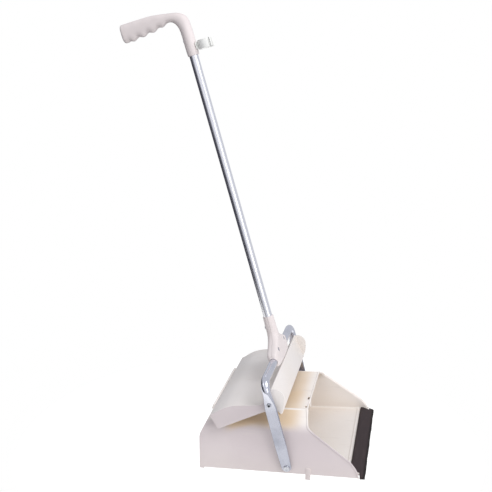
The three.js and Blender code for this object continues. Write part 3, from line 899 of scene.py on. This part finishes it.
def bar_form(sides=40):
    """Each ring: point = middle + U (k c + r cos a) + N r sin a, where c is cos a hardened to -1..1,
    U is fore and aft, and N is across the bar in its own plane."""
    path = bar_path()
    w = path[:, 1]
    ease = np.clip((w - FLAT_TOP) / ROUND_LENGTH, 0, 1)
    ease = ease * ease * (3 - 2 * ease)
    in_foot = np.minimum(w - FOOT_W, 0) / FOOT_ROUND
    half_width = np.interp(w, [FOOT_W, LEG_WIDE_W], [FOOT_ROUND, LEG_WIDE])
    half_width = half_width * np.sqrt(np.clip(1 - in_foot ** 2, 0, 1))
    radius = np.minimum(LEG_HALF + (BAR_RADIUS - LEG_HALF) * ease, half_width + 1e-6)
    pull = np.clip(half_width - LEG_HALF, 0, None) * (1 - ease)
    along = np.gradient(path, axis=0)
    along = along / np.linalg.norm(along, axis=1)[:, None]
    angle = round_angles(sides)
    hard = np.clip(np.cos(angle) * 3, -1, 1)
    u = BAR_U * ease[:, None] + pull[:, None] * hard + radius[:, None] * np.cos(angle)
    out = radius[:, None] * np.sin(angle)
    y = path[:, :1] - along[:, 1:] * out
    z = w[:, None] + along[:, :1] * out
    return grid(np.stack([u, y, z], -1), wrap=True, caps=True)


frame_bar = new_object("u_bar", bar_form(), LEGS)
pivot_bore = bar_across(PIVOT_BORE, 0, 0, -BEYOND, BEYOND)
hinge_bore = bar_across(HINGE_BORE, *HINGE, -BEYOND, BEYOND)
cut_away(frame_bar, (pivot_bore, LEGS), (hinge_bore, PAN))
finish_piece(frame_bar, "frame", "frame_chrome", frame_chrome, "frame_bar")

# %% [markdown]
# ## Rivets, washers and pins
# These are turned shapes on axes that lie across the pan: profiles of (radius, depth) spun round the
# axis and placed by their CAD nodes' boxes. The rivets' heads are dished, and the lid's pins are
# tubular, so their middles look dark.

# %% Turned fixings
def spun(profile, sides=48):
    """Rings at each (radius, depth): point = (r cos a, depth, r sin a). Closed if r ends at 0."""
    angle = round_angles(sides)
    r, depth = np.asarray(profile, float).T
    x = r[:, None] * np.cos(angle)
    z = r[:, None] * np.sin(angle)
    return np.stack([x, np.broadcast_to(depth[:, None], x.shape), z], -1)


def across_fixing(name, node, profile, body):
    """A turned piece whose depths run from its outer face inwards, placed by its CAD node's box and
    mirrored for the far side."""
    low, high = (np.array(corner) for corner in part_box(node))
    hand = -1 if node.endswith("near") else 1
    outer = high[1] if hand > 0 else low[1]
    middle = (low + high) / 2
    points, faces = grid(spun(profile), wrap=True)
    points = points * MM * (1, -hand, 1) + (middle[0], outer, middle[2])
    made = new_object(name, (points, faces), None)
    finish_piece(made, body, "fixings_zinc", fixings_zinc, node, smooth=30)


def reach_across(node):
    """How far a CAD node reaches across the pan, in millimetres."""
    low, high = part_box(node)
    return (high[1] - low[1]) / MM


def ring_profile(node, bore, radius, edge=0.25):
    """A washer's closed half section, as thick as its CAD node, with its edges broken."""
    thick = reach_across(node)
    return [(bore, edge), (bore + edge, 0), (radius - edge, 0), (radius, edge), (radius, thick - edge),
            (radius - edge, thick), (bore + edge, thick), (bore, thick - edge), (bore, edge)]


RIVET = [(0, 0.75), (1.2, 0.72), (2.0, 0.45), (2.6, 0.1), (3.2, 0), (4.2, 0.15), (5.1, 0.6), (5.55, 1.3),
         (5.6, 1.75), (5.3, 2), (2.4, 2)]
LID_PIN = [(0, 14), (1.85, 13.8), (1.9, 0.5), (2.1, 0.1), (2.5, 0), (3.3, 0.15), (4.0, 0.5), (4.2, 1.1),
           (4.0, 1.4), (2.2, 1.4)]


def with_shank(profile, node):
    """The head's profile carried on by a straight shank to the node's inner end."""
    length = reach_across(node)
    shank = profile[-1][0]
    return [*profile, (shank, length - 0.3), (shank - 0.3, length), (0, length)]


WASHER_BORE = 2.75
SPACER_RADIUS = 7
WASHER_RADIUS = 6
for side in ("near", "far"):
    rivet = f"pivot_rivet_{side}"
    across_fixing(f"rivet_{side}", rivet, with_shank(RIVET, rivet), "pan")
    pin = f"lid_pin_{side}"
    across_fixing(f"hinge_pin_{side}", pin, with_shank(LID_PIN, pin), "lid")
    spacer = f"pivot_spacer_{side}"
    across_fixing(f"spacer_{side}", spacer, ring_profile(spacer, WASHER_BORE, SPACER_RADIUS), "pan")
    washer = f"backing_washer_{side}"
    across_fixing(f"washer_{side}", washer, ring_profile(washer, WASHER_BORE, WASHER_RADIUS), "pan")

# %% [markdown]
# ## The bracket
# Two moulded shells clamp the crossbar between them and carry the pipe's socket. Together they are one
# blended form: wide and boxy round the bar, round at the socket. It is a stack of sections, each a
# superellipse |y/a|^n + |u/b|^n = 1, whose half width a, half depth b and power n all change with
# height. The bar's bore and the pipe's bore are cut out, and each shell stops at the plane that
# splits them.

# %% Bracket shells
SPLIT = 0.175
BRACKET = np.array([
    # height, half width, half depth, power
    (-11, 48, 7.5, 5), (-10.4, 50.5, 9.4, 5), (-9, 52.3, 10.5, 5), (-6, 53.6, 11, 5), (0, 55.4, 11, 5),
    (5, 55.6, 11, 5), (11, 54.8, 11, 5), (14, 53.4, 10.9, 4.8), (16.6, 49.5, 10.7, 4.4),
    (20, 41.5, 10.6, 4), (25, 30.5, 10.6, 3.4), (30, 20.8, 10.7, 2.8), (35, 14.2, 10.7, 2.3),
    (40, 11.6, 10.6, 2), (48, 10.7, 10.4, 2), (60, 10.2, 10.1, 2), (70.6, 9.9, 9.9, 2),
    (72.4, 9.6, 9.6, 2), (73, 9, 9, 2),
])


def smooth_rows(table, count):
    """Rows eased between the table's rows by a Catmull-Rom curve: each stretch is the cubic that has
    the neighbours' slopes at its ends."""
    rows = np.vstack([2 * table[0] - table[1], table, 2 * table[-1] - table[-2]])
    at = np.linspace(0, len(table) - 1, count)
    i = np.minimum(at.astype(int), len(table) - 2)
    t = (at - i)[:, None]
    a, b, c, d = (rows[i + k] for k in range(4))
    square = 2 * a - 5 * b + 4 * c - d
    cube = 3 * b - a - 3 * c + d
    return 0.5 * (2 * b + (c - a) * t + square * t ** 2 + cube * t ** 3)


def superellipse(half_first, half_second, power, sides):
    """cos and sin raised to 2/n, with their signs kept, times the two half sizes."""
    angle = round_angles(sides)
    c, s = np.cos(angle), np.sin(angle)
    exponent = 2 / power[:, None]
    first = half_first[:, None] * np.sign(c) * np.abs(c) ** exponent
    second = half_second[:, None] * np.sign(s) * np.abs(s) ** exponent
    return first, second


def bracket_form(front):
    """Superellipse sections stacked up the pipe's axis, with every point behind the split moved
    onto it for the front shell, and the other way round for the rear one."""
    w, half_width, half_depth, power = smooth_rows(BRACKET, 76).T
    y, u = superellipse(half_width, half_depth, power, 96)
    u = np.maximum(u, SPLIT) if front else np.minimum(u, -SPLIT)
    return grid(np.stack([u, y, np.broadcast_to(w[:, None], y.shape)], -1), wrap=True, caps=True)


def bar_up(radius, w0, w1, sides=48):
    """A round bar along the pipe's axis."""
    rings = spun([(radius, w0), (radius, w1)], sides)[:, :, [0, 2, 1]]
    return grid(rings, wrap=True, caps=True)


def bar_forward(radius, y, w, u0, u1, sides=32):
    """A round bar along the screws' axis."""
    rings = spun([(radius, u0), (radius, u1)], sides)[:, :, [1, 0, 2]] + (0, y, w)
    return grid(rings, wrap=True, caps=True)


SLACK = 0.35          # play between a bore and what sits in it
PIPE_RADIUS = 8
PIPE_BORE = PIPE_RADIUS + SLACK
SCREW_Y = 30
SCREW_W = 15
SCREW_HEAD = 3.6
SEAT_U = 8.6
LOCK_W = 52
bores = [bar_across(BAR_RADIUS + SLACK, 0, 0, -70, 70, 64), bar_up(PIPE_BORE, 11, 90)]
for hand in (-1, 1):
    bores.append(bar_forward(SCREW_HEAD + 0.4, hand * SCREW_Y, SCREW_W, SEAT_U, 20))
for name, front in (("bracket_front", True), ("bracket_rear", False)):
    half = new_object(f"{name}_shell", bracket_form(front), HANDLE)
    cut_away(half, *[(form, HANDLE) for form in bores])
    finish_piece(half, "frame", "grip_ivory", grip_ivory, name, smooth=40)

# %% [markdown]
# ## Screws
# The bracket and the grip are held by small cross-headed screws. A head is a shallow dome spun round
# the screw's axis, with a cross pressed into it: the dome is lowered wherever a point is within half
# a slot's width of either arm.

# %% Screws
SHANK = 1.75
CROSS_HALF = 0.45
CROSS_DEPTH = 0.9


def screw_form(radius, thick, length, y, w, face, towards):
    """Dome r, depth = thick (r / R)^2 / 2, less the cross, and then the shank. The face looks along
    +u where towards is 1, along -u where it is -1."""
    dome = np.linspace(0, radius, 14)
    r = np.concatenate([dome, [radius, SHANK, SHANK, 0]])
    depth = np.concatenate([0.5 * thick * (dome / radius) ** 2, [thick, thick, length, length]])
    rings = spun(np.stack([r, depth], -1), 64)
    first, second = np.abs(rings[:len(dome), :, 0]), np.abs(rings[:len(dome), :, 2])
    in_cross = (np.minimum(first, second) < CROSS_HALF) & (np.maximum(first, second) < radius * 0.62)
    rings[:len(dome), :, 1] += CROSS_DEPTH * in_cross
    u = face - towards * rings[..., 1]
    return grid(np.stack([u, y + rings[..., 0], w + rings[..., 2]], -1), wrap=True)


GRIP_SCREW_W = 590
SCREWS = (
    # name, CAD node, head radius, head thickness, length, y, w, face, which way it looks
    ("clamp_screw_near", "bracket_screw_near", SCREW_HEAD, 2.1, 18, -SCREW_Y, SCREW_W, 11.2, 1),
    ("clamp_screw_far", "bracket_screw_far", SCREW_HEAD, 2.1, 18, SCREW_Y, SCREW_W, 11.2, 1),
    ("lock_screw", "socket_screw", 3.4, 1.8, 15, 0, LOCK_W, -11.8, -1),
    ("grip_fixing", "grip_screw", 3.4, 1.7, 15, 0, GRIP_SCREW_W, -11.4, -1),
)
for name, node, *sizes in SCREWS:
    screw = new_object(name, screw_form(*sizes), HANDLE)
    finish_piece(screw, "frame", "fixings_zinc", fixings_zinc, node, smooth=30)

# %% [markdown]
# ## The pipe
# A thin-walled drawn tube. Its profile goes up the outside, over the cut end and down the inside, and
# closes on itself, so the tube is really hollow.

# %% Pipe
PIPE_WALL = 1.2
PIPE_BOTTOM = 12
PIPE_TOP = 604
PIPE_EDGE = 0.2


def pipe_form():
    """The wall's closed section spun round the pipe's axis, with a ring every 20 mm outside."""
    bore = PIPE_RADIUS - PIPE_WALL
    rim = PIPE_RADIUS - PIPE_EDGE
    outside = np.linspace(PIPE_BOTTOM + PIPE_EDGE, PIPE_TOP - PIPE_EDGE, 30)
    profile = [(rim, PIPE_BOTTOM), *[(PIPE_RADIUS, w) for w in outside], (rim, PIPE_TOP),
               (bore, PIPE_TOP), (bore, PIPE_BOTTOM), (rim, PIPE_BOTTOM)]
    return grid(spun(profile, 72)[:, :, [0, 2, 1]], wrap=True)


handle_pipe = new_object("drawn_pipe", pipe_form(), HANDLE)
finish_piece(handle_pipe, "frame", "pipe_aluminium", pipe_aluminium, "handle_pipe")

# %% [markdown]
# ## The grip
# The grip is a sleeve that turns into a bar to hold, with shallow grooves for the fingers underneath.
# Two side lines describe it, one over the back of the hand and one under the fingers. Each section
# spans from line to line and is a superellipse, round on the sleeve and squarer on the bar, so the
# bend comes out smooth by itself. The form starts inside the pipe's bore, so it has a real socket.

# %% Grip
GRIP_END = -115
GRIP_LINES = np.array([
    # outer line u, w, inner line u, w, half width, power
    (9.4, 563, -9.4, 563, 9.4, 2), (9.9, 563.6, -9.9, 563.6, 9.9, 2),
    (10.4, 568, -10.4, 568, 10.4, 2), (10.8, 577, -10.7, 577, 10.7, 2), (10.8, 590, -10.7, 589, 10.7, 2),
    (10.6, 603, -10.8, 600, 10.8, 2), (10, 614, -11.4, 610, 10.9, 2), (8.6, 625, -13.4, 618, 10.9, 2.1),
    (4.8, 632.8, -17, 624, 10.9, 2.2), (-2, 638.2, -21.4, 627.6, 10.6, 2.3),
    (-10, 641.4, -27, 629, 10.5, 2.4), (-20, 643.5, -33, 628.2, 10.6, 2.4),
    (-30, 645.2, -40, 625.6, 10.9, 2.4), (-42, 647.2, -48, 623.8, 11, 2.5),
    (-56, 648.9, -59, 622, 11, 2.5), (-70, 649.3, -71, 620.5, 11, 2.5), (-84, 649.4, -84, 619, 11, 2.6),
    (-98, 649.4, -98, 617.6, 11, 2.6), (-109, 649.4, -109, 616.6, 11, 2.6),
])
END_ROUND = 4
GROOVE_PITCH = 19.5
GROOVE_DEPTH = 1.7
GROOVE_U = 48         # a groove lies this far behind the pipe's axis


def grip_form(sides=64):
    """point = middle + half cos + Y width sin, where middle and half come from the two side lines.
    The end is closed by a quarter round: it goes on by r sin and shrinks by r (1 - cos)."""
    lines = smooth_rows(GRIP_LINES, 150)
    under = lines[:, 2]
    on_bar = np.clip((-30 - under) / 12, 0, 1) * np.clip((under + 108) / 8, 0, 1)
    lines[:, 3] += GROOVE_DEPTH * on_bar * np.cos((under + GROOVE_U) * 2 * math.pi / GROOVE_PITCH)
    turn = np.linspace(0, math.pi / 2, 9)
    reach = GRIP_END - lines[-1, 0] + END_ROUND * (1 - np.sin(turn))
    less = END_ROUND * (1 - np.cos(turn))
    end = lines[-1] + np.stack([reach, -less, reach, less, -less, 0 * less], -1)
    outer_u, outer_w, inner_u, inner_w, width, power = np.vstack([lines, end]).T[..., None]
    span, side = superellipse(np.ones(len(width)), width[:, 0], power[:, 0], sides)
    u = (outer_u + inner_u) / 2 + (outer_u - inner_u) / 2 * span
    w = (outer_w + inner_w) / 2 + (outer_w - inner_w) / 2 * span
    skin = np.stack([u, side, w], -1)
    bore = spun([(PIPE_BORE, PIPE_TOP + 1), (PIPE_BORE, 563.6), (8.8, 563)], sides)
    return grid(np.concatenate([bore[:, :, [0, 2, 1]], skin]), wrap=True, caps=True)


grip = new_object("hand_grip", grip_form(), HANDLE)
cut_away(grip, (bar_forward(3.8, 0, GRIP_SCREW_W, -20, -9.4), HANDLE))
finish_piece(grip, "frame", "grip_ivory", grip_ivory, "grip", smooth=50)

# %% [markdown]
# ## The broom clip
# The broom's handle snaps into an open ring. The ring is a strip on edge: a path in plan view, an arc
# with two ends that flare outwards, given its wall on both sides and carried up by the clip's height.
# A waisted neck joins it to the grip's sleeve.

# %% Broom clip
CLIP_MIDDLE = 577.5
CLIP_HEIGHT = 15.6
CLIP_RADIUS = 12.9
CLIP_WALL = 2.2
CLIP_REACH = 27
CLIP_OPENING = 48
NECK_U = 12.2
NECK_HALF = 5


def clip_path():
    """(u, y): an arc from one side of the opening to the other, and at each end a parabola outwards."""
    angle = np.radians(np.linspace(CLIP_OPENING, 360 - CLIP_OPENING, 72))
    arc = np.stack([CLIP_REACH + CLIP_RADIUS * np.cos(angle), CLIP_RADIUS * np.sin(angle)], -1)
    start = arc[0]
    t = np.linspace(0, 1, 10)[:, None]
    bend, tip = start + (1.5, -1.4), start + (4.0, 2.9)
    flare = (1 - t) ** 2 * start + 2 * t * (1 - t) * bend + t ** 2 * tip
    return np.vstack([flare[:0:-1], arc, flare[1:] * (1, -1)])


def upright(first, second, height):
    """The wall between two lines (u, y) of the plan view: each ring has four corners, bottom and top."""
    low, high = CLIP_MIDDLE - height / 2, CLIP_MIDDLE + height / 2
    corners = ((first, low), (second, low), (second, high), (first, high))
    rings = [np.column_stack([line, np.full(len(line), w)]) for line, w in corners]
    return grid(np.stack(rings, 1), wrap=True, caps=True)


def clip_form():
    """The path moved half a wall to each side along its normal."""
    path = clip_path()
    along = np.gradient(path, axis=0)
    normal = np.stack([along[:, 1], -along[:, 0]], -1) / np.linalg.norm(along, axis=1)[:, None]
    return upright(path - normal * CLIP_WALL / 2, path + normal * CLIP_WALL / 2, CLIP_HEIGHT)


def neck_form():
    """A block along u whose half width grows with the square of the distance from its waist."""
    u = np.linspace(9.9, CLIP_REACH - CLIP_RADIUS + 0.4, 12)
    half = NECK_HALF + 0.55 * (u - NECK_U) ** 2
    return upright(np.stack([u, -half], -1), np.stack([u, half], -1), CLIP_HEIGHT - 4)


clip_parts = [new_object("clip_ring", clip_form(), HANDLE), new_object("clip_neck", neck_form(), HANDLE)]
for part in clip_parts:
    bevel(part, 0.55, 3, 50)
broom_clip = together("clip_moulding", *clip_parts)
finish_piece(broom_clip, "frame", "clip_ivory", clip_ivory, "broom_clip")

# %% [markdown]
# ## Floor and light
# The object stands on a round sheet of pale paper in white surroundings. A large soft panel high on
# the right is the key, a low one lights the mouth, and weak ones in front and on the left fill the
# walls. As light, the surroundings are bright above and on the right and fall to dark low on the
# left, so that the metal has something to show.

# %% Floor
FLOOR_RADIUS = 0.44


def floor_form():
    """A flat disc: x, y = R r cos a, R r sin a."""
    rings = spun([(FLOOR_RADIUS * share, 0) for share in (0.02, 0.3, 0.6, 1)], 96)
    return grid(rings[:, :, [0, 2, 1]], wrap=True, caps=True)


def pale_paper(name):
    """Matt white paper with a trace of tooth, lit a little from below like a light table, so that
    shadows on it stay faint."""
    finish = Finish(name, Roughness=0.9, Specular_IOR_Level=0.1, Emission_Strength=0.27)
    tooth = finish.noise(0.004, 3.0)
    white = finish.mix(tooth, colour(0.90, 0.90, 0.90), colour(0.93, 0.93, 0.93))
    finish.give(Base_Color=white, Emission_Color=white)
    return finish.material


floor = new_object("floor", floor_form(), None, closed=False)
floor.data.materials.append(pale_paper("pale_paper"))
print("floor", FLOOR_RADIUS, "m in radius")


# %% Light
PAN_MIDDLE = (0.1, 0.0, 0.1)
PANELS = (
    # name, place, size, watts, tint
    ("key", (1.5, -1.0, 2.2), 1.4, 36, (0.98, 0.98, 1.0)),
    ("mouth", (1.5, -1.5, 0.45), 0.9, 5.5, (1.0, 0.98, 0.97)),
    ("front", (-0.3, -2.6, 0.9), 1.6, 2, (1.0, 0.96, 1.0)),
    ("left", (-1.8, -1.2, 1.5), 1.2, 4, (0.96, 0.97, 1.0)),
)


def panel_light(name, place, size, power, tint):
    """A square soft light that looks at the middle of the pan."""
    data = bpy.data.lights.new(name, "AREA")
    data.size = size
    data.energy = power
    data.color = tint
    light = show(bpy.data.objects.new(name, data))
    towards = np.array(PAN_MIDDLE) - place
    light.location = place
    heading = math.atan2(-towards[0], towards[1])
    dip = math.atan2(np.hypot(towards[0], towards[1]), -towards[2])
    light.rotation_euler = (dip, 0, heading)


def studio_world():
    """White where the camera sees it. As light it is bright above and to the right, and falls to a
    dark grey low on the left, which is the dark edge that a polished tube shows."""
    world = bpy.data.worlds.new("studio")
    world.use_nodes = True
    nodes = Nodes(world.node_tree)
    background = world.node_tree.nodes["Background"]
    direction = nodes.add("ShaderNodeTexCoord", {}, output=0)
    x = nodes.add("ShaderNodeSeparateXYZ", {}, direction, output=0)
    z = nodes.add("ShaderNodeSeparateXYZ", {}, direction, output=2)
    bright = (x * 0.9 + z * 0.8).above(-0.85, -0.25)
    light = nodes.mix(bright, colour(0.04, 0.04, 0.055), colour(0.63, 0.64, 0.68))
    seen = nodes.add("ShaderNodeLightPath", {}, output=0)
    shown = nodes.mix(seen, light, colour(1, 1, 1))
    world.node_tree.links.new(shown.socket, background.inputs["Color"])
    bpy.context.scene.world = world


for panel in PANELS:
    panel_light(*panel)
studio_world()
bpy.context.scene.view_settings.view_transform = "Standard"
print("panels of light", [name for name, *_ in PANELS])

# %% [markdown]
# ## The end
# The view layer is brought up to date. The finished object's box must lie inside the
# imported model's box.

# %% Finish
bpy.context.view_layer.update()
